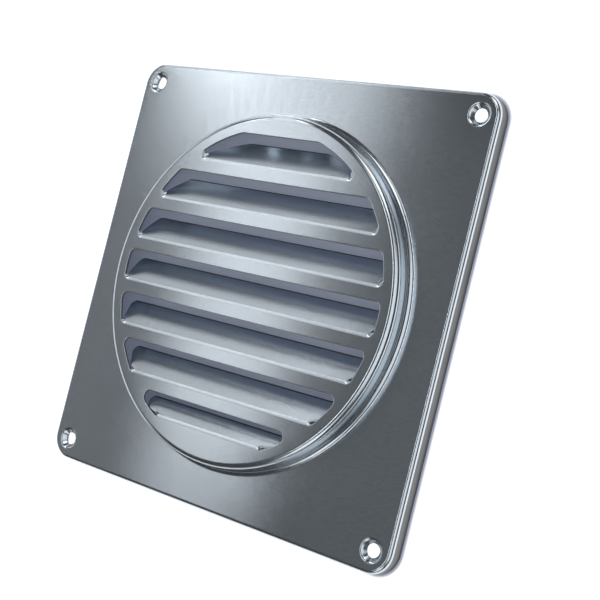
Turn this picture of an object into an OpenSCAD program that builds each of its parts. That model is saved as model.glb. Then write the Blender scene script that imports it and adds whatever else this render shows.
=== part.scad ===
// Surface-mount louvred vent, pressed from one stainless sheet.
// It lies on its back: XY is the wall, +Z points out of the wall and +Y points up it.
// The origin is the middle of the rear rim, which meets the wall. Lengths are in millimetres.

/* [Plate] */
// Width and height of the square plate
plate_w = 150; // [144:1:220]
// Outside radius of the plate's corners, seen from the front
corner_r = 8; // [5:0.5:14]
// How far the plate's front stands out from the wall
plate_h = 5.6; // [4.6:0.1:12]
// Thickness of the sheet
sheet_t = 0.7; // [0.4:0.1:1]
// Outside radius of the bend between the plate and its return flange
flange_bend_r = 1.4; // [1.2:0.1:2.4]

/* [Boss] */
// Diameter at which the round boss rises out of the plate
boss_d = 123; // [110:1:126]
// How far the boss's face stands in front of the plate
boss_h = 6.6; // [5.5:0.1:14]
// Outside radius of the bend round the boss's face
boss_face_bend_r = 2.2; // [1.2:0.1:2.6]
// Radius of the hollow at the boss's foot, on the front
boss_foot_r = 1.9; // [0.8:0.1:2.2]

/* [Louvres] */
// Width of the plain rim of the boss's face, outside the ends of the louvres
face_rim_w = 3.2; // [2.6:0.1:6]
// Number of louvres
louvre_count = 7; // [3:2:7]
// Distance from one louvre to the next
louvre_pitch = 15.5; // [15:0.1:17]
// Height of the slot that a full louvre leaves in the face
slot_h = 11.4; // [9:0.1:12]
// How far the middle slot's top edge lies above the vent's centre
middle_slot_top = 5.2; // [3:0.1:7]
// Radius of the top corners of each slot
slot_corner_r = 2.2; // [1:0.1:3]
// Radius of the lower corners of each slot, beyond the ends of the hinge
slot_tip_r = 1.2; // [0.8:0.1:1.6]
// Shortest hinge that a louvre is folded along
shortest_hinge = 45; // [30:1:50]
// Outside radius of the rolled edge round the lower corners of each slot
roll_r = 1; // [0.8:0.05:1.1]
// Angle that this edge is rolled through, in degrees
roll_angle = 45; // [30:1:60]
// Angle that each blade is folded back from the face, in degrees
blade_angle = 36; // [28:1:50]
// Outside radius of the bend at each blade's hinge
blade_bend_r = 2; // [1.2:0.1:2.6]
// Gap of the cut round each blade
cut_gap = 0.15; // [0.1:0.05:0.3]

/* [Screw holes] */
// Distance from each screw hole's centre to the two nearest sides of the plate
hole_inset = 7.2; // [7:0.1:11]
// Diameter of the screw holes
screw_d = 4.2; // [3.5:0.1:5]
// Diameter of the dimple round each screw hole, at the plate's front
dimple_d = 8.2; // [7.6:0.1:9.5]
// Included angle of the dimple's cone, in degrees
dimple_angle = 90; // [80:1:120]
// Outside radius of the bend at the dimple's lip
dimple_lip_r = 1.3; // [1.1:0.1:1.8]

/* [Hidden] */
steel = [0.62, 0.65, 0.68];
$fn = 96;
// Number of straight steps in each arc of a slot's outline
arc_steps = 6;
// A solid that cuts reaches this far past what it cuts
reach = 1;

// Half the plate's width, and the length of a side between its corners
half_w = plate_w / 2;
side_l = plate_w - 2 * corner_r;

// The front of the boss's face, and the radius of its flat part
face_z = plate_h + boss_h;
boss_r = boss_d / 2;
face_r = boss_r - boss_foot_r - boss_face_bend_r;

// The louvres end on this circle
louvre_r = face_r - face_rim_w;
// Width of the face that goes with a rolled edge
roll_land = 0.6;
// A rolled edge starts this many degrees past the hinge and stops as many short of the slot's side
roll_stop = 8;
// Length that the hinge's bend takes along the face
bend_run = blade_bend_r * sin(blade_angle);
// Height of the lowest place where a hinge can still have its shortest length
hinge_limit = hundredth(sqrt(pow(louvre_r, 2) - pow(shortest_hinge / 2, 2)));
half_louvres = (louvre_count - 1) / 2;

cone_slope = 90 - dimple_angle / 2;
hole_place = half_w - hole_inset;

function hundredth(v) = round(100 * v) / 100;
function slot_top(i) = middle_slot_top + i * louvre_pitch;
function hinge_y(i) = max(slot_top(i) - slot_h, -hinge_limit);
// Where a circle of radius r round the vent's centre passes the height y, on the right
function on_circle(r, y) = [sqrt(pow(r, 2) - pow(y, 2)), y];
function direction(p) = atan2(p.y, p.x);
// Centre of a slot's lower corner, on the right
function tip_centre(i) = on_circle(louvre_r - slot_tip_r, hinge_y(i) + slot_tip_r);
// Half the length of a hinge. It ends one gap short of the slot's rounded corner.
function hinge_half(i) = hundredth(tip_centre(i).x - cut_gap);

// Points along an arc after its first, from one direction to another
function arc(centre, r, from, to) = [
    for (k = [1:arc_steps])
        let (a = from + (to - from) * k / arc_steps)
            centre + r * [cos(a), sin(a)]
];
// Points up the right-hand end of an outline that follows the circle, after a first direction
function right_end(from, r, top, corner) =
    let (top_corner = on_circle(r - corner, top - corner), turn = direction(top_corner))
        concat(arc([0, 0], r, from, turn), arc(top_corner, corner, turn, 90));

// Section of a bend in the sheet. It starts at the top and turns clockwise by the angle.
module bend_section(outside_r, angle) {
    difference() {
        intersection() {
            circle(outside_r);
            square(2 * outside_r);
            rotate(-angle)
                translate([-2 * outside_r, 0])
                    square(2 * outside_r);
        }
        circle(outside_r - sheet_t);
    }
}

// Section of the return flange: x runs outward from the middle of a corner, y is height
module flange_section() {
    translate([0, plate_h - sheet_t])
        square([corner_r - flange_bend_r, sheet_t]);
    translate([corner_r - flange_bend_r, plate_h - flange_bend_r])
        bend_section(flange_bend_r, 90);
    translate([corner_r - sheet_t, 0])
        square([sheet_t, plate_h - flange_bend_r]);
}

// The square dish: four flanged sides, four turned corners and the flat between them
module dish() {
    for (turn = [0:90:270]) {
        rotate([0, 0, turn])
            translate([half_w - corner_r, side_l / 2, 0])
                rotate([90, 0, 0])
                    linear_extrude(side_l)
                        flange_section();
        rotate([0, 0, turn])
            translate([half_w - corner_r, half_w - corner_r, 0])
                rotate_extrude(angle = 90)
                    flange_section();
    }
    translate([-side_l / 2, -side_l / 2, plate_h - sheet_t])
        cube([side_l, side_l, sheet_t]);
}

// Section of the boss from its face down to the plate: x is radius, y is height
module boss_section() {
    translate([0, face_z - sheet_t])
        square([face_r, sheet_t]);
    translate([face_r, face_z - boss_face_bend_r])
        bend_section(boss_face_bend_r, 90);
    translate([boss_r - boss_foot_r - sheet_t, plate_h + boss_foot_r])
        square([sheet_t, boss_h - boss_foot_r - boss_face_bend_r]);
    translate([boss_r, plate_h + boss_foot_r])
        rotate(180)
            bend_section(boss_foot_r + sheet_t, 90);
}

// A shape that is the same left and right, from the points up its right-hand side
module both_sides(points) {
    polygon(concat(points, [for (k = [len(points) - 1:-1:0]) [-points[k].x, points[k].y]]));
}

// Outline of a slot: its ends follow the circle, between rounded corners
module slot_outline(i) {
    tip = tip_centre(i);
    both_sides(concat(
        [[tip.x, hinge_y(i)]],
        arc(tip, slot_tip_r, -90, direction(tip)),
        right_end(direction(tip), louvre_r, slot_top(i), slot_corner_r)
    ));
}

// Outline of a blade before it is folded: the slot's less the cut, and narrower at its bend
module blade_outline(i) {
    r = louvre_r - cut_gap;
    half = hinge_half(i);
    start = hinge_y(i) + bend_run;
    wide = on_circle(r, start + 2 * sheet_t);
    both_sides(concat(
        [[half, start - 2 * blade_bend_r], [half, start + sheet_t], wide],
        right_end(direction(wide), r, slot_top(i) - cut_gap, slot_corner_r - cut_gap)
    ));
}

// Section of a blade and its bend. It starts at the hinge, level with the face.
module blade_section() {
    bend_section(blade_bend_r, blade_angle);
    rotate(-blade_angle)
        translate([0, blade_bend_r - sheet_t])
            square([slot_h, sheet_t]);
}

// One blade: the folded sheet, cut square to its flat along the outline
module blade(i) {
    hinge = hinge_y(i);
    translate([0, hinge, face_z - blade_bend_r])
        intersection() {
            translate([-louvre_r, 0, 0])
                rotate([90, 0, 90])
                    linear_extrude(2 * louvre_r)
                        blade_section();
            rotate([-blade_angle, 0, 0])
                translate([0, -hinge - bend_run, 0])
                    linear_extrude(blade_bend_r + reach)
                        blade_outline(i);
        }
}

// Section of a rolled edge: x is distance from the corner's centre, y is height
module roll_section() {
    translate([slot_tip_r, 0]) {
        mirror([1, 0])
            bend_section(roll_r, roll_angle);
        translate([0, roll_r - sheet_t])
            square([roll_land, sheet_t]);
    }
}

// The rolled edges round the two lower corners of a slot
module rolled_corners(i) {
    tip = tip_centre(i);
    for (side = [0, 1])
        mirror([side, 0, 0])
            translate([tip.x, tip.y, face_z - roll_r])
                rotate([0, 0, roll_stop - 90])
                    rotate_extrude(angle = 90 + direction(tip) - 2 * roll_stop)
                        roll_section();
}

// The boss with its slots cut
module boss() {
    difference() {
        rotate_extrude()
            boss_section();
        for (i = [-half_louvres:half_louvres])
            translate([0, 0, face_z - blade_bend_r])
                linear_extrude(blade_bend_r + reach)
                    slot_outline(i);
    }
}

// Section of a screw hole's dimple: x is radius, y is height from the plate's front
module dimple_section() {
    difference() {
        translate([dimple_d / 2, -dimple_lip_r])
            mirror([1, 0]) {
                bend_section(dimple_lip_r, cone_slope);
                rotate(-cone_slope)
                    translate([0, dimple_lip_r - sheet_t])
                        square([dimple_d, sheet_t]);
            }
        translate([-dimple_d, -2 * dimple_d])
            square([dimple_d + screw_d / 2, 3 * dimple_d]);
    }
}

module at_holes() {
    for (x = [-1, 1], y = [-1, 1])
        translate([x * hole_place, y * hole_place, 0])
            children();
}

// The whole stamping
module vent_plate() {
    color(steel) {
        difference() {
            dish();
            translate([0, 0, plate_h - sheet_t - reach])
                cylinder(h = sheet_t + 2 * reach, r = boss_r);
            at_holes()
                translate([0, 0, plate_h - sheet_t - reach])
                    cylinder(h = sheet_t + 2 * reach, d = dimple_d);
        }
        boss();
        for (i = [-half_louvres:half_louvres]) {
            blade(i);
            rolled_corners(i);
        }
        at_holes()
            translate([0, 0, plate_h])
                rotate_extrude()
                    dimple_section();
    }
}

vent_plate();
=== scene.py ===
import math

import bmesh
import bpy
import numpy as np
from mathutils import Matrix, Vector
from mathutils.bvhtree import BVHTree
from mathutils.geometry import delaunay_2d_cdt


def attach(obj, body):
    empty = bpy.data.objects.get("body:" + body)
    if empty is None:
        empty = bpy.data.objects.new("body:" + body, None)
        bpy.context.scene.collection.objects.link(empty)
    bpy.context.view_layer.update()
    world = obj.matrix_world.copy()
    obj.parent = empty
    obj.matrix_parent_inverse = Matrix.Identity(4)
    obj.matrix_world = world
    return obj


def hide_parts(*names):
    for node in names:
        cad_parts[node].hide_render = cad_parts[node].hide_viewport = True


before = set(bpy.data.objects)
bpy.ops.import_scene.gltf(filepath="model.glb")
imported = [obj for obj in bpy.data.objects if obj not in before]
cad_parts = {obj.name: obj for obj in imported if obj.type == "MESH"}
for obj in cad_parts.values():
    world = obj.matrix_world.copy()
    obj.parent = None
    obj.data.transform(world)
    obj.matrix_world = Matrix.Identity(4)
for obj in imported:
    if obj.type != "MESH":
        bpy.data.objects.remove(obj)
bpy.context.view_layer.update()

# Sizes of the stamping, in millimetres and radians, as in the part's source
PLATE_W, CORNER_R, PLATE_H, SHEET = 150.0, 8.0, 5.6, 0.7
FLANGE_BEND = 1.4
BOSS_R, BOSS_H = 61.5, 6.6
FACE_BEND, FOOT_BEND = 2.2, 1.9
RIM_W, PITCH, SLOT_H, MIDDLE_TOP = 3.2, 15.5, 11.4, 5.2
SLOT_CORNER, SHORT_HINGE = 2.2, 45.0
BLADE_ANGLE, BLADE_BEND, CUT_GAP = math.radians(36), 2.0, 0.15
HOLE_PLACE, HOLE_R, DIMPLE_R, LIP_R = 67.8, 2.1, 4.1, 1.3
CONE = math.radians(45)
FACE_Z = PLATE_H + BOSS_H
FACE_R = BOSS_R - FOOT_BEND - FACE_BEND
LOUVRE_R = FACE_R - RIM_W
LOUVRES = range(-3, 4)
MM = 0.001

# Radius that a louvre's fold turns at its ends, where the source has a corner with a rolled edge
TIP_R = 2.0
# Width of the row of faces along each cut edge
RIM_STRIP = 0.32
# Radius that the cut edges are rounded by
EDGE_ROUND = 0.15
# A point further than this from the sheet is an overshoot of the rounding
STRAY = 0.4 * EDGE_ROUND
# Points closer than this are one
SAME_POINT = 0.002
# Width of the band of painted shade along a blade's free edge, a dark colour that stands in for the shade
# there
PAINTED_SHADE_W = 0.45
# The rolled tips blend into a blade over this length, or over this share of a short blade
TIP_BLEND, TIP_BLEND_SHARE = 3.2, 0.45
# Roughness that a fold adds to the steel at a louvre's bend
BEND_DULLNESS = 0.2
# Radius of the spot of painted light, a glow in the floor under each screw hole, and the width of its soft
# edge
SPOT_R, SPOT_SOFT = 5.7, 1.0
# Colour of the studio's lights
PALE = (0.97, 0.99, 1.0)
# The photograph's camera: azimuth, elevation and roll in degrees, place in metres, and lens
PHOTO_ANGLES = (36.42, -1.55, 14.10)
PHOTO_PLACE = (0.24964, -0.00978, 0.3177)
PHOTO_LENS = 71.52
# A sheared edge droops by this much over this width
EDGE_DROP, EDGE_RUN = 0.2, 0.5


class Sheet:
    """The front surface of the sheet, with the unrolled place of each point for the grain."""

    def __init__(self):
        self.points, self.flat, self.faces = [], [], []
        # The faces beside a blade's sheared free edge, which get painted shade
        self.sheared = []

    def add(self, p, uv):
        self.points.append(p)
        self.flat.append(uv)
        return len(self.points) - 1

    def row(self, points, uvs):
        return [self.add(p, uv) for p, uv in zip(points, uvs)]

    def strip(self, a, b, closed):
        n = len(a)
        for k in range(n if closed else n - 1):
            j = (k + 1) % n
            self.faces.append((a[k], a[j], b[j], b[k]))

    def fill(self, outer, holes, z):
        """A flat region inside one loop and outside others, as triangles."""
        loops = [outer] + holes
        ids = [i for loop in loops for i in loop]
        edges, start = [], 0
        for loop in loops:
            n = len(loop)
            edges += [(start + k, start + (k + 1) % n) for k in range(n)]
            start += n
        flat = [Vector(self.points[i][:2]) for i in ids]
        out = delaunay_2d_cdt(flat, edges, [], 0, 1e-7)
        verts, faces, origin = out[0], out[2], out[3]
        back = {}
        for k, v in enumerate(verts):
            if origin[k]:
                back[k] = ids[origin[k][0]]
            else:
                back[k] = self.add((v.x, v.y, z), (v.x, v.y))
        rings = [[Vector(self.points[i][:2]) for i in loop] for loop in loops]
        for f in faces:
            c = sum((verts[k] for k in f), Vector((0, 0))) / len(f)
            if inside(c, rings[0]) and not any(inside(c, r) for r in rings[1:]):
                face = [back[k] for k in f]
                a, b, d = (Vector(self.points[i][:2]) for i in face[:3])
                if (b - a).cross(d - a) < 0:
                    face.reverse()
                self.faces.append(tuple(face))


def inside(p, ring):
    """Whether a point lies inside a closed loop of points."""
    hit = False
    for k in range(len(ring)):
        a, b = ring[k - 1], ring[k]
        if (a.y > p.y) != (b.y > p.y) and p.x < (b.x - a.x) * (p.y - a.y) / (b.y - a.y) + a.x:
            hit = not hit
    return hit


def turn(p, angle):
    c, s = math.cos(angle), math.sin(angle)
    return (p[0] * c - p[1] * s, p[0] * s + p[1] * c)


def arc(centre, r, start, end, steps, first=True):
    """Points and outward normals along an arc. Angles are in radians."""
    out = []
    for k in range(0 if first else 1, steps + 1):
        a = start + (end - start) * k / steps
        n = (math.cos(a), math.sin(a))
        out.append(((centre[0] + r * n[0], centre[1] + r * n[1]), n))
    return out


def on_circle(r, y):
    return (math.sqrt(r * r - y * y), y)


def heading(p):
    return math.atan2(p[1], p[0])


def slot_top(i):
    return MIDDLE_TOP + i * PITCH


def hinge_y(i):
    limit = math.sqrt(LOUVRE_R ** 2 - (SHORT_HINGE / 2) ** 2)
    return max(slot_top(i) - SLOT_H, -limit)


def offset(points, by):
    return [(p[0] + n[0] * by, p[1] + n[1] * by) for p, n in points]


def add_flange(sheet):
    """The plate's outline, its bend and the return flange. Gives the loop where the plate's flat ends."""
    half, r = PLATE_W / 2 - CORNER_R, CORNER_R - FLANGE_BEND
    side_steps, corner_steps, bend_steps, wall_steps = 24, 10, 9, 4
    loop = []
    for q in range(4):
        corner = [(turn(p, q * math.pi / 2), turn(n, q * math.pi / 2))
                  for p, n in arc((half, half), r, 0, math.pi / 2, corner_steps)]
        start = turn((half + r, -half), q * math.pi / 2)
        n = turn((1, 0), q * math.pi / 2)
        end = corner[0][0]
        for k in range(side_steps):
            t = k / side_steps
            loop.append(((start[0] + (end[0] - start[0]) * t, start[1] + (end[1] - start[1]) * t), n))
        loop += corner[:-1]
    # The next side starts at the corner's last point, which is why that is left out above
    profile = [(0.0, 0.0, 0.0)]
    for k in range(1, bend_steps + 1):
        a = math.pi / 2 * k / bend_steps
        profile.append((FLANGE_BEND * math.sin(a), FLANGE_BEND * (1 - math.cos(a)), FLANGE_BEND * a))
    wall = PLATE_H - FLANGE_BEND
    for k in range(1, wall_steps + 1):
        d = (wall - RIM_STRIP) * k / wall_steps
        profile.append((FLANGE_BEND, FLANGE_BEND + d, FLANGE_BEND * math.pi / 2 + d))
    profile.append((FLANGE_BEND, PLATE_H, FLANGE_BEND * math.pi / 2 + wall))
    rows = []
    for out, drop, length in profile:
        places = offset(loop, out)
        unrolled = offset(loop, length)
        rows.append(sheet.row([(x, y, PLATE_H - drop) for x, y in places], unrolled))
    for a, b in zip(rows, rows[1:]):
        sheet.strip(a, b, True)
    return rows[0]


def add_turned(sheet, centre, profile, steps):
    """Rings turned about a vertical axis from (radius, height, unrolled radius). Gives the rings."""
    rings = []
    for r, z, flat in profile:
        ring = []
        for k in range(steps):
            a = 2 * math.pi * k / steps
            c, s = math.cos(a), math.sin(a)
            unrolled = (centre[0] + flat * c, centre[1] + flat * s)
            ring.append(sheet.add((centre[0] + r * c, centre[1] + r * s, z), unrolled))
        rings.append(ring)
    for a, b in zip(rings, rings[1:]):
        sheet.strip(a, b, True)
    return rings


def dimple_profile():
    """From the plate over the lip and down the cone to the screw hole."""
    steps, cone_steps = 7, 3
    out = []
    for k in range(steps + 1):
        a = CONE * k / steps
        r, z = DIMPLE_R - LIP_R * math.sin(a), PLATE_H - LIP_R * (1 - math.cos(a))
        out.append((r, z, DIMPLE_R - LIP_R * a))
    r, z, flat = out[-1]
    run = r - HOLE_R
    slope = math.tan(CONE)
    for k in range(1, cone_steps + 1):
        d = (run - RIM_STRIP * 0.7) * k / cone_steps
        out.append((r - d, z - d * slope, flat - d / math.cos(CONE)))
    out.append((HOLE_R, z - run * slope, flat - run / math.cos(CONE)))
    return out


def boss_profile():
    """From the plate up over the foot, the wall and the bend to the flat face."""
    foot, wall, top = 9, 3, 10
    height = BOSS_H - FOOT_BEND - FACE_BEND
    unrolled = FACE_R + (FACE_BEND + FOOT_BEND) * math.pi / 2 + height
    out = []
    for k in range(foot + 1):
        a = math.pi / 2 * k / foot
        r, z = BOSS_R - FOOT_BEND * math.sin(a), PLATE_H + FOOT_BEND * (1 - math.cos(a))
        out.append((r, z, unrolled - FOOT_BEND * a))
    r, z, flat = out[-1]
    for k in range(1, wall + 1):
        d = height * k / wall
        out.append((r, z + d, flat - d))
    r, z, flat = out[-1]
    for k in range(1, top + 1):
        a = math.pi / 2 * k / top
        out.append((r - FACE_BEND * (1 - math.cos(a)), z + FACE_BEND * math.sin(a), flat - FACE_BEND * a))
    return out


def tip_centre(i):
    return on_circle(LOUVRE_R - TIP_R, hinge_y(i) + TIP_R)


def fold_line(i, hinge_steps=44, tip_steps=9):
    """The line that a louvre is folded along, from its left tip round to its right one.

    Each point comes with its outward normal and its place from -1 to 1. The hinge is from -0.5 to 0.5.
    """
    tip = tip_centre(i)
    right = arc(tip, TIP_R, -math.pi / 2, heading(tip), tip_steps)
    out = []
    for k in range(tip_steps, 0, -1):
        (x, y), (nx, ny) = right[k]
        out.append(((-x, y), (-nx, ny), -0.5 - 0.5 * k / tip_steps))
    for k in range(hinge_steps + 1):
        t = -1 + 2 * k / hinge_steps
        out.append(((tip[0] * t, hinge_y(i)), (0, -1), 0.5 * t))
    for k in range(1, tip_steps + 1):
        out.append((right[k][0], right[k][1], 0.5 + 0.5 * k / tip_steps))
    return out


def slot_rest(i, side_steps=9, corner_steps=7, top_steps=30):
    """The rest of a slot's outline, from its right tip up and over to its left one, ends left out."""
    tip = tip_centre(i)
    corner = on_circle(LOUVRE_R - SLOT_CORNER, slot_top(i) - SLOT_CORNER)
    facing = heading(corner)
    right = arc((0, 0), LOUVRE_R, heading(tip), facing, side_steps, False)
    right += arc(corner, SLOT_CORNER, facing, math.pi / 2, corner_steps, False)
    left = [((-x, y), (-nx, ny)) for (x, y), (nx, ny) in reversed(right)]
    top = []
    for k in range(1, top_steps):
        t = 1 - 2 * k / top_steps
        top.append(((corner[0] * t, slot_top(i)), (0, 1)))
    return right + top + left


def blade_half_width(i, y):
    """Half the width of the flat blade at the height y, before it is folded."""
    r, corner = LOUVRE_R - CUT_GAP, SLOT_CORNER - CUT_GAP
    top = slot_top(i) - CUT_GAP
    centre = on_circle(r - corner, top - corner)
    turn_y = centre[1] + corner * math.sin(heading(centre))
    if y < turn_y:
        return on_circle(r, y)[0]
    return centre[0] + math.sqrt(max(corner ** 2 - (y - centre[1]) ** 2, 0))


def add_blade_bend(sheet, fold, first):
    """The bend at a louvre's hinge, level with the face at first. Gives its last row."""
    bend_steps = 10
    last = first
    for k in range(1, bend_steps + 1):
        a = BLADE_ANGLE * k / bend_steps
        run, drop = BLADE_BEND * math.sin(a), BLADE_BEND * (1 - math.cos(a))
        points = [(p[0] - n[0] * run, p[1] - n[1] * run, FACE_Z - drop) for p, n, u in fold]
        row = sheet.row(points, offset([(p, n) for p, n, u in fold], -BLADE_BEND * a))
        sheet.strip(last, row, False)
        last = row
    return last


class Blade:
    """The flat of one blade, from its bend to its free edge."""

    def __init__(self, i):
        self.louvre = i
        self.slope = (math.cos(BLADE_ANGLE), math.sin(BLADE_ANGLE))
        self.start = (hinge_y(i) + BLADE_BEND * self.slope[1], FACE_Z - BLADE_BEND * (1 - self.slope[0]))
        self.length = slot_top(i) - CUT_GAP - self.start[0]
        self.blend = min(TIP_BLEND, TIP_BLEND_SHARE * self.length)

    def place(self, u, s):
        """A point on the flat, and its unrolled place. It droops beside the sheared edges."""
        half = blade_half_width(self.louvre, self.start[0] + s)
        share = min(TIP_R, 0.1 * half)
        to_side = share
        if abs(u) <= 0.5:
            x = 2 * u * (half - share)
        else:
            to_side = share * (2 - 2 * abs(u))
            x = math.copysign(half - to_side, u)
        droops = [max(1 - d / EDGE_RUN, 0) ** 2 for d in (to_side, self.length - s)]
        drop = EDGE_DROP * sum(droops)
        y = self.start[0] + s * self.slope[0] - drop * self.slope[1]
        z = self.start[1] - s * self.slope[1] - drop * self.slope[0]
        return (x, y, z), (x, self.start[0] + s)

    def add_blend(self, sheet, fold, last):
        """The rows that blend the rolled tips into the flat, as cubic curves. Gives the last of them."""
        steps = 9
        slope = self.slope
        lip = [sheet.points[k] for k in last]
        lip_flat = [sheet.flat[k] for k in last]
        target = [self.place(u, self.blend) for p, n, u in fold]
        for k in range(1, steps + 1):
            t = k / steps
            h0, h1 = 2 * t ** 3 - 3 * t ** 2 + 1, t ** 3 - 2 * t ** 2 + t
            h2, h3 = -2 * t ** 3 + 3 * t ** 2, t ** 3 - t ** 2
            points, flats = [], []
            for (p, n, u), a, a_flat, (b, b_flat) in zip(fold, lip, lip_flat, target):
                reach = math.dist(a, b)
                # A tip that faces away from the blade starts its curve gently
                ahead = -(n[0] * (b[0] - a[0]) + n[1] * (b[1] - a[1])) / math.dist(a[:2], b[:2])
                early = reach * max(ahead, 0.1)
                out = (-n[0] * slope[0] * early, -n[1] * slope[0] * early, -slope[1] * early)
                into = (0, slope[0] * reach, -slope[1] * reach)
                points.append(tuple(h0 * a[c] + h1 * out[c] + h2 * b[c] + h3 * into[c] for c in range(3)))
                flats.append(tuple(a_flat[c] + (b_flat[c] - a_flat[c]) * t for c in range(2)))
            row = sheet.row(points, flats)
            sheet.strip(last, row, False)
            last = row
        return last

    def add_flat(self, sheet, fold, last):
        """The rows from the blend to the free edge, closer together where the top corners round off."""
        straight = self.length - self.blend
        corner_from = max(straight - SLOT_CORNER, 0.3 * straight)
        levels = [corner_from * k / 4 for k in range(1, 5)]
        turns = 8
        for k in range(1, turns + 1):
            levels.append(corner_from + (straight - corner_from) * math.sin(math.pi / 2 * k / turns))
        for s in levels:
            places = [self.place(u, self.blend + s) for p, n, u in fold]
            row = sheet.row([p for p, f in places], [f for p, f in places])
            before = len(sheet.faces)
            sheet.strip(last, row, False)
            # Faces this close to the free edge get painted shade
            if straight - s < PAINTED_SHADE_W:
                sheet.sheared += range(before, len(sheet.faces))
            last = row


def add_louvre(sheet, i):
    """A slot's edge on the face, and the blade folded back from it. Gives the loop outside the slot."""
    fold = fold_line(i)
    rest = slot_rest(i)
    first = sheet.row([(*p, FACE_Z) for p, n, u in fold], [p for p, n, u in fold])
    edge = sheet.row([(*p, FACE_Z) for p, n in rest], [p for p, n in rest])
    outer_flat = offset([(p, n) for p, n, u in fold] + rest, RIM_STRIP)
    outer = sheet.row([(*p, FACE_Z) for p in outer_flat], outer_flat)
    sheet.strip(first + edge, outer, True)
    blade = Blade(i)
    last = add_blade_bend(sheet, fold, first)
    last = blade.add_blend(sheet, fold, last)
    blade.add_flat(sheet, fold, last)
    return outer


def build_sheet():
    """The whole front surface: the plate with its flange, the dimples, the boss and the louvres."""
    sheet = Sheet()
    plate_loop = add_flange(sheet)
    dimples = []
    for x in (-HOLE_PLACE, HOLE_PLACE):
        for y in (-HOLE_PLACE, HOLE_PLACE):
            dimples.append(add_turned(sheet, (x, y), dimple_profile(), 48)[0])
    boss_steps = 288
    rings = add_turned(sheet, (0, 0), boss_profile(), boss_steps)
    # The boss's foot once more, with the plate's own unrolled places
    foot = add_turned(sheet, (0, 0), [(BOSS_R, PLATE_H, BOSS_R)], boss_steps)[0]
    sheet.fill(plate_loop, dimples + [foot], PLATE_H)
    slots = [add_louvre(sheet, i) for i in LOUVRES]
    sheet.fill(rings[-1], slots, FACE_Z)
    return sheet


def front_mesh(sheet, name, materials):
    """The front surface as a mesh. The materials are those of the steel, the cut edges with the painted
    shade along the blades' free edges, and the flange's wall with its painted shade.
    """
    mesh = bpy.data.meshes.new(name)
    mesh.from_pydata([tuple(c * MM for c in p) for p in sheet.points], [], sheet.faces)
    layer = mesh.uv_layers.new(name="unrolled")
    flat = np.array(sheet.flat, float) * MM
    corners = np.empty(len(mesh.loops), np.int32)
    mesh.loops.foreach_get("vertex_index", corners)
    layer.uv.foreach_set("vector", flat[corners].ravel())
    for material in materials:
        mesh.materials.append(material)
    # The band along each blade's free edge gets the sheared edge's dark material as painted shade
    for k in sheet.sheared:
        mesh.polygons[k].material_index = 1
    # The flange's wall gets its own material, darkened as painted shade
    for f in mesh.polygons:
        past = [max(abs(c) / MM - PLATE_W / 2 + CORNER_R, 0) for c in f.center[:2]]
        if f.center.z < (PLATE_H - FLANGE_BEND) * MM and math.hypot(*past) > CORNER_R - 2 * SHEET:
            f.material_index = 2
    bm = bmesh.new()
    bm.from_mesh(mesh)
    bmesh.ops.remove_doubles(bm, verts=bm.verts, dist=SAME_POINT * MM)
    bmesh.ops.recalc_face_normals(bm, faces=bm.faces)
    high = max(bm.faces, key=lambda f: f.calc_center_median().z)
    if high.normal.z < 0:
        bmesh.ops.reverse_faces(bm, faces=bm.faces)
    for f in bm.faces:
        f.smooth = True
    bm.to_mesh(mesh)
    bm.free()
    return mesh


def baked(piece):
    """A new mesh of a piece with its modifiers applied."""
    graph = bpy.context.evaluated_depsgraph_get()
    graph.update()
    made = piece.evaluated_get(graph)
    return bpy.data.meshes.new_from_object(made, preserve_all_data_layers=True, depsgraph=graph)


def mend_rounding(mesh, sharp):
    """Brings the points where the rounding overshoots back to the sheet, beside their sound neighbours."""
    places = [v.co for v in sharp.vertices]
    tree = BVHTree.FromPolygons(places, [tuple(f.vertices) for f in sharp.polygons])
    bm = bmesh.new()
    bm.from_mesh(mesh)
    stray = {v for v in bm.verts if tree.find_nearest(v.co)[3] > STRAY * MM}
    mended = stray
    while mended:
        sound = {}
        for v in stray:
            near = [w.co for w in (e.other_vert(v) for e in v.link_edges) if w not in stray]
            if near:
                sound[v] = sum(near, Vector()) / len(near)
        for v, place in sound.items():
            v.co = tree.find_nearest(place)[0]
        mended = set(sound)
        stray = stray - mended
    for v in bm.verts:
        v.co.z = min(v.co.z, FACE_Z * MM)
    bm.to_mesh(mesh)
    bm.free()


def sheet_object(sheet, name, materials):
    """The stamping as a piece: the front surface, its thickness and its rounded cut edges."""
    front = front_mesh(sheet, name, materials)
    piece = bpy.data.objects.new(name, front)
    bpy.context.scene.collection.objects.link(piece)
    thick = piece.modifiers.new("thickness", "SOLIDIFY")
    thick.thickness = SHEET * MM
    thick.offset = -1
    thick.use_quality_normals = True
    # The cut faces take the sheared edge's dark material, which is partly painted shade
    thick.material_offset_rim = 1
    sharp = baked(piece)
    edge = piece.modifiers.new("cut edges", "BEVEL")
    edge.width = EDGE_ROUND * MM
    edge.segments = 2
    edge.limit_method = "ANGLE"
    edge.angle_limit = math.radians(50)
    edge.use_clamp_overlap = False
    piece.data = baked(piece)
    piece.modifiers.clear()
    mend_rounding(piece.data, sharp)
    bpy.data.meshes.remove(sharp)
    bpy.data.meshes.remove(front)
    shade = piece.modifiers.new("even shading", "WEIGHTED_NORMAL")
    shade.weight = 50
    shade.keep_sharp = False
    return piece


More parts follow.
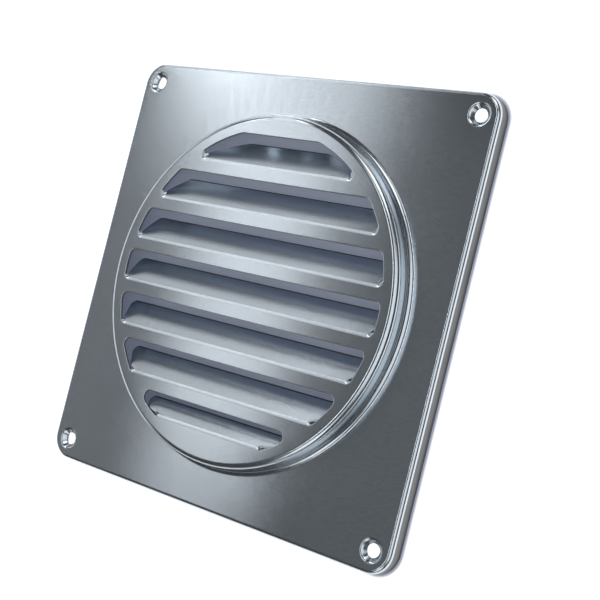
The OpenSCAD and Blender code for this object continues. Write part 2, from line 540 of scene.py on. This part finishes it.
class Nodes:
    """Short ways to make and link shader nodes."""

    def __init__(self, name):
        self.material = bpy.data.materials.new(name)
        self.material.use_nodes = True
        self.tree = self.material.node_tree
        self.shader = self.tree.nodes["Principled BSDF"]

    def add(self, kind, sockets=None, **settings):
        node = self.tree.nodes.new(kind)
        for key, value in settings.items():
            setattr(node, key, value)
        for key, value in (sockets or {}).items():
            self.feed(node.inputs[key], value)
        return node

    def feed(self, socket, value):
        if isinstance(value, bpy.types.NodeSocket):
            self.tree.links.new(value, socket)
        else:
            socket.default_value = value

    def maths(self, operation, a, b=0.0, c=0.0):
        return self.add("ShaderNodeMath", {0: a, 1: b, 2: c}, operation=operation).outputs[0]

    def mix(self, share, a, b):
        """A colour between two, each as red, green and blue."""
        made = self.add("ShaderNodeMix", {"Factor": share, 6: (*a, 1), 7: (*b, 1)}, data_type="RGBA")
        return made.outputs[2]

    def vector(self, operation, a, b=(0, 0, 0), output=0):
        return self.add("ShaderNodeVectorMath", {0: a, 1: b}, operation=operation).outputs[output]

    def spread(self, value, start, end, low, high, steps="LINEAR"):
        """A value from low to high, as another goes from start to end."""
        sockets = {"Value": value, "From Min": start, "From Max": end, "To Min": low, "To Max": high}
        return self.add("ShaderNodeMapRange", sockets, interpolation_type=steps).outputs[0]

    def noise(self, place, stretch, detail=2.0, rough=0.5):
        moved = self.add("ShaderNodeMapping", {"Vector": place, "Scale": stretch})
        made = self.add("ShaderNodeTexNoise", {"Vector": moved.outputs[0], "Scale": 1.0,
                                               "Detail": detail, "Roughness": rough})
        return made.outputs["Fac"]


def louvre_bends(n):
    """The dullness of the louvres' bends, from the tilt of the surface between the face and the blades."""
    tilt = n.add("ShaderNodeSeparateXYZ", {0: n.add("ShaderNodeTexCoord").outputs["Normal"]})
    straight = n.maths("LESS_THAN", n.maths("ABSOLUTE", tilt.outputs["X"]), 0.03)
    from_middle = n.maths("SUBTRACT", tilt.outputs["Y"], 0.5 * math.sin(BLADE_ANGLE))
    bent = n.spread(n.maths("ABSOLUTE", from_middle), 0.22, 0.28, BEND_DULLNESS, 0.0)
    return n.maths("MULTIPLY", straight, bent)


def steel_material():
    """Brushed stainless steel. The grain runs across the vent, and follows the sheet round its bends."""
    n = Nodes("brushed_steel")
    uv = n.add("ShaderNodeUVMap", uv_map="unrolled").outputs[0]
    grain = n.noise(uv, (200.0, 5200.0, 1.0), 2.0, 0.6)
    streaks = n.noise(uv, (430.0, 1700.0, 1.0), 3.0, 0.7)
    cloud = n.noise(uv, (38.0, 52.0, 1.0), 3.0, 0.5)
    smear = n.noise(uv, (90.0, 160.0, 1.0), 2.0, 0.6)
    share = n.maths("MULTIPLY_ADD", streaks, 1.6, -0.3)
    n.feed(n.shader.inputs["Base Color"], n.mix(share, (0.565, 0.615, 0.665), (0.685, 0.74, 0.795)))
    n.shader.inputs["Metallic"].default_value = 1.0
    rough = n.maths("MULTIPLY_ADD", cloud, 0.06, 0.115)
    rough = n.maths("MULTIPLY_ADD", streaks, 0.05, rough)
    rough = n.maths("MULTIPLY_ADD", smear, 0.03, rough)
    n.feed(n.shader.inputs["Roughness"], n.maths("ADD", louvre_bends(n), rough))
    n.shader.inputs["Anisotropic"].default_value = 0.85
    n.shader.inputs["Anisotropic Rotation"].default_value = 0.25
    tangent = n.add("ShaderNodeTangent", direction_type="UV_MAP", uv_map="unrolled")
    n.feed(n.shader.inputs["Tangent"], tangent.outputs[0])
    bump = n.add("ShaderNodeBump", {"Height": grain, "Strength": 0.18, "Distance": 0.04 * MM})
    n.feed(n.shader.inputs["Normal"], bump.outputs[0])
    return n.material


def cut_edge_painted_shade_material():
    """The sheared cut faces of the sheet, dull, and the band along each blade's free edge. The dark colour
    is the cut faces' own dull tone and, along the free edges, painted shade.
    """
    n = Nodes("sheared_edge_painted_shade")
    place = n.add("ShaderNodeTexCoord").outputs["Object"]
    tear = n.noise(place, (900.0, 900.0, 4000.0), 2.0, 0.6)
    # Painted shade: dark colour for the cut faces and for the band along each blade's free edge
    n.feed(n.shader.inputs["Base Color"], n.mix(tear, (0.06, 0.065, 0.075), (0.16, 0.17, 0.185)))
    n.shader.inputs["Metallic"].default_value = 1.0
    n.feed(n.shader.inputs["Roughness"], n.maths("MULTIPLY_ADD", tear, 0.2, 0.35))
    return n.material


def flange_painted_shade_material():
    """The flange's wall. It isn't brushed, and its colour is darker than the front's as painted shade,
    which stands in for the dark surroundings that it mirrors.
    """
    n = Nodes("flange_wall_painted_shade")
    place = n.add("ShaderNodeTexCoord").outputs["Object"]
    cloud = n.noise(place, (60.0, 60.0, 300.0), 3.0, 0.6)
    # Painted shade: the wall's colour is darkened
    n.feed(n.shader.inputs["Base Color"], n.mix(cloud, (0.10, 0.10, 0.10), (0.22, 0.22, 0.22)))
    n.shader.inputs["Metallic"].default_value = 1.0
    n.feed(n.shader.inputs["Roughness"], n.maths("MULTIPLY_ADD", cloud, 0.1, 0.25))
    return n.material


def floor_painted_light_material():
    """A floor with painted light: it glows white around the vent, with a narrow dark margin at the outline
    as painted shadow, and in a spot under each screw hole; under the louvres it glows only dimly and is
    tinted blue-grey as painted shade.
    """
    n = Nodes("studio_floor_painted_light")
    n.shader.inputs["Roughness"].default_value = 0.9
    n.shader.inputs["Specular IOR Level"].default_value = 0.1
    # The vent is the same in all four quarters, so one quarter's places serve for all
    spot = n.vector("ABSOLUTE", n.add("ShaderNodeNewGeometry").outputs["Position"])
    spot = n.vector("MULTIPLY", spot, (1, 1, 0))
    half = (PLATE_W / 2 - CORNER_R) * MM
    past = n.vector("MAXIMUM", n.vector("SUBTRACT", spot, (half, half, 0)))
    from_corner = n.vector("LENGTH", past, output="Value")
    outline = CORNER_R * MM
    # Painted light: the floor glows outside the plate, with a narrow dark margin at the outline as painted
    # shadow
    outside = n.spread(from_corner, outline + 0.1 * MM, outline + 1.4 * MM, 0.0, 0.95, "SMOOTHSTEP")
    from_hole = n.vector("DISTANCE", spot, (HOLE_PLACE * MM, HOLE_PLACE * MM, 0), "Value")
    dim, bright = (SPOT_R + SPOT_SOFT / 2) * MM, (SPOT_R - SPOT_SOFT / 2) * MM
    # Painted light: a glowing spot under each screw hole
    under = n.spread(from_hole, dim, bright, 0.0, 1.1, "SMOOTHSTEP")
    glow = n.maths("MAXIMUM", outside, under)
    # Painted light and shade: under the vent the floor glows only dimly
    n.feed(n.shader.inputs["Emission Strength"], n.maths("MAXIMUM", glow, 0.085))
    # Painted shade: the floor and its glow are blue-grey under the vent
    n.feed(n.shader.inputs["Base Color"], n.mix(outside, (0.70, 0.74, 0.86), (0.60, 0.60, 0.60)))
    n.feed(n.shader.inputs["Emission Color"], n.mix(glow, (0.68, 0.73, 0.88), (1, 1, 1)))
    return n.material


def soft_light(name, place, size, power):
    """A rectangular soft light that faces the vent. Its size is that across X and that along Y."""
    light = bpy.data.lights.new(name, "AREA")
    light.shape = "RECTANGLE"
    light.size, light.size_y = size
    light.energy = power
    light.color = PALE
    made = bpy.data.objects.new(name, light)
    bpy.context.scene.collection.objects.link(made)
    back = Vector(place).normalized()
    right = Vector((0, 1, 0)).cross(back).normalized()
    turned = Matrix((right, back.cross(right), back)).transposed().to_4x4()
    made.matrix_world = Matrix.Translation(place) @ turned


def photo_camera():
    """The camera of the photograph: its direction, its roll, its place and its lens."""
    azimuth, elevation, roll = map(math.radians, PHOTO_ANGLES)
    ahead = -Vector((math.sin(azimuth) * math.cos(elevation), math.sin(elevation),
                     math.cos(azimuth) * math.cos(elevation)))
    level = ahead.cross(Vector((0, 1, 0))).normalized()
    down = ahead.cross(level)
    c, s = math.cos(roll), math.sin(roll)
    right, lower = c * level - s * down, s * level + c * down
    camera = bpy.data.cameras.new("photo_camera")
    camera.lens = PHOTO_LENS
    camera.sensor_width = 36
    camera.clip_start = 0.01
    camera.clip_end = 20
    made = bpy.data.objects.new("photo_camera", camera)
    bpy.context.scene.collection.objects.link(made)
    turned = Matrix((right, -lower, -ahead)).transposed().to_4x4()
    made.matrix_world = Matrix.Translation(PHOTO_PLACE) @ turned
    bpy.context.scene.camera = made


def studio():
    """A pale floor, a dim room and soft lights."""
    scene = bpy.context.scene
    mesh = bpy.data.meshes.new("floor")
    half = 2.5
    corners = [(-half, -half, 0), (half, -half, 0), (half, half, 0), (-half, half, 0)]
    mesh.from_pydata(corners, [], [(0, 1, 2, 3)])
    floor = bpy.data.objects.new("floor", mesh)
    floor.data.materials.append(floor_painted_light_material())
    scene.collection.objects.link(floor)
    world = bpy.data.worlds.new("room")
    world.use_nodes = True
    room = world.node_tree.nodes["Background"]
    room.inputs["Color"].default_value = (0.90, 0.95, 1.0, 1)
    room.inputs["Strength"].default_value = 0.06
    scene.world = world
    scene.view_settings.view_transform = "Standard"
    scene.view_settings.look = "None"
    # The panels that the flats mirror, from the bright middle to the dark ends
    soft_light("wide panel", (-0.734, 0.390, 0.866), (0.293, 0.422), 0.30)
    soft_light("upper panel", (-0.736, 0.640, 0.699), (0.12, 0.58), 1.16)
    soft_light("middle panel", (-0.754, -0.031, 0.933), (0.150, 0.508), 0.24)
    soft_light("left fill", (-0.902, -0.093, 0.787), (0.152, 0.756), 0.055)
    soft_light("right fill", (-0.509, -0.093, 1.083), (0.325, 0.917), 0.07)
    # The low panel beyond the top, which the blades mirror beside their hinges
    soft_light("horizon", (-0.80, 0.90, 0.216), (0.50, 0.36), 0.36)
    # The lights that the bends, the boss's wall and the dimples mirror
    soft_light("right side", (0.69, 0.0, 0.98), (1.0, 1.4), 4.4)
    soft_light("overhead", (-0.30, 0.0, 1.16), (0.09, 1.4), 1.3)
    soft_light("top side", (0.15, 0.93, 0.73), (0.5, 0.5), 1.8)
    soft_light("bottom side", (0.15, -0.93, 0.73), (0.5, 0.5), 1.2)
    soft_light("left side", (-1.15, 0.0, 0.36), (0.45, 1.4), 1.6)


photo_camera()
studio()
metals = [steel_material(), cut_edge_painted_shade_material(), flange_painted_shade_material()]
vent = sheet_object(build_sheet(), "pressed_sheet", metals)
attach(vent, "root")
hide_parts("vent_plate")
